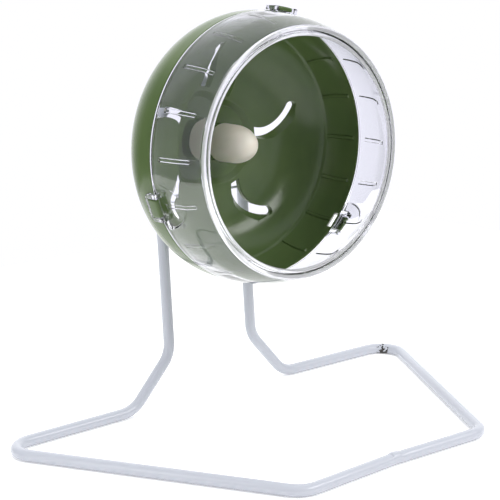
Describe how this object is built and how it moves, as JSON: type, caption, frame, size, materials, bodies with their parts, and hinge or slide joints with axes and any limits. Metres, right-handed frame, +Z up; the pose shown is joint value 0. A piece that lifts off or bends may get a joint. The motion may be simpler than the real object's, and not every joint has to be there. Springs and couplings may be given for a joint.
{
  "type": "hamster wheel",
  "caption": "Free-standing running wheel for a hamster: an opaque bowl with curved vents and a clear front ring, clipped together, turns on ball bearings in a bent rod stand.",
  "frame": {"origin": "on the floor, under the middle of the whole object", "axes": "+X to the right seen from the open front, +Y along the axle from the open front to the back, +Z up"},
  "size_m": [0.2234, 0.1334, 0.1821],
  "materials": {
    "powder_coated_steel": "white powder coat, semi-gloss",
    "green_abs": "glossy moulded ABS, olive green",
    "clear_polystyrene": "clear moulded polystyrene, polished",
    "cream_abs": "satin moulded ABS, warm grey cream",
    "zinc_plated_steel": "bright zinc plate",
    "bearing_steel": "ground and polished",
    "nylon": "natural nylon"
  },
  "bodies": {
    "stand": {"stand_rod": "powder_coated_steel", "cross_wire": "powder_coated_steel", "axle_plate": "powder_coated_steel", "axle_bolt": "zinc_plated_steel", "head_washer": "zinc_plated_steel", "rear_spacer": "zinc_plated_steel", "bearing_spacer": "zinc_plated_steel", "front_washer": "zinc_plated_steel", "lock_nut": "zinc_plated_steel", "lock_nut_insert": "nylon", "front_bearing_inner_ring": "bearing_steel", "rear_bearing_inner_ring": "bearing_steel"},
    "wheel": {"wheel_bowl": "green_abs", "clear_ring": "clear_polystyrene", "hub_cap": "cream_abs", "front_bearing_outer_ring": "bearing_steel", "front_bearing_front_shield": "zinc_plated_steel", "front_bearing_rear_shield": "zinc_plated_steel", "rear_bearing_outer_ring": "bearing_steel", "rear_bearing_front_shield": "zinc_plated_steel", "rear_bearing_rear_shield": "zinc_plated_steel"},
    "front_cage": {"front_bearing_cage": "nylon", "front_bearing_ball_1": "bearing_steel", "front_bearing_ball_2": "bearing_steel", "front_bearing_ball_3": "bearing_steel", "front_bearing_ball_4": "bearing_steel", "front_bearing_ball_5": "bearing_steel", "front_bearing_ball_6": "bearing_steel", "front_bearing_ball_7": "bearing_steel"},
    "rear_cage": {"rear_bearing_cage": "nylon", "rear_bearing_ball_1": "bearing_steel", "rear_bearing_ball_2": "bearing_steel", "rear_bearing_ball_3": "bearing_steel", "rear_bearing_ball_4": "bearing_steel", "rear_bearing_ball_5": "bearing_steel", "rear_bearing_ball_6": "bearing_steel", "rear_bearing_ball_7": "bearing_steel"}
  },
  "joints": [
    {"name": "wheel_spin", "type": "hinge", "parent": "stand", "child": "wheel", "pos_m": [0, 0.0501, 0.1215], "axis": [0, 1, 0], "continuous": true},
    {"name": "front_cage_spin", "type": "hinge", "parent": "stand", "child": "front_cage", "pos_m": [0, 0.04813, 0.1215], "axis": [0, 1, 0], "continuous": true},
    {"name": "rear_cage_spin", "type": "hinge", "parent": "stand", "child": "rear_cage", "pos_m": [0, 0.05393, 0.1215], "axis": [0, 1, 0], "continuous": true}
  ],
  "couplings": [
    {"joint": "front_cage_spin", "follows": "wheel_spin", "ratio": 0.6099},
    {"joint": "rear_cage_spin", "follows": "wheel_spin", "ratio": 0.6099}
  ]
}
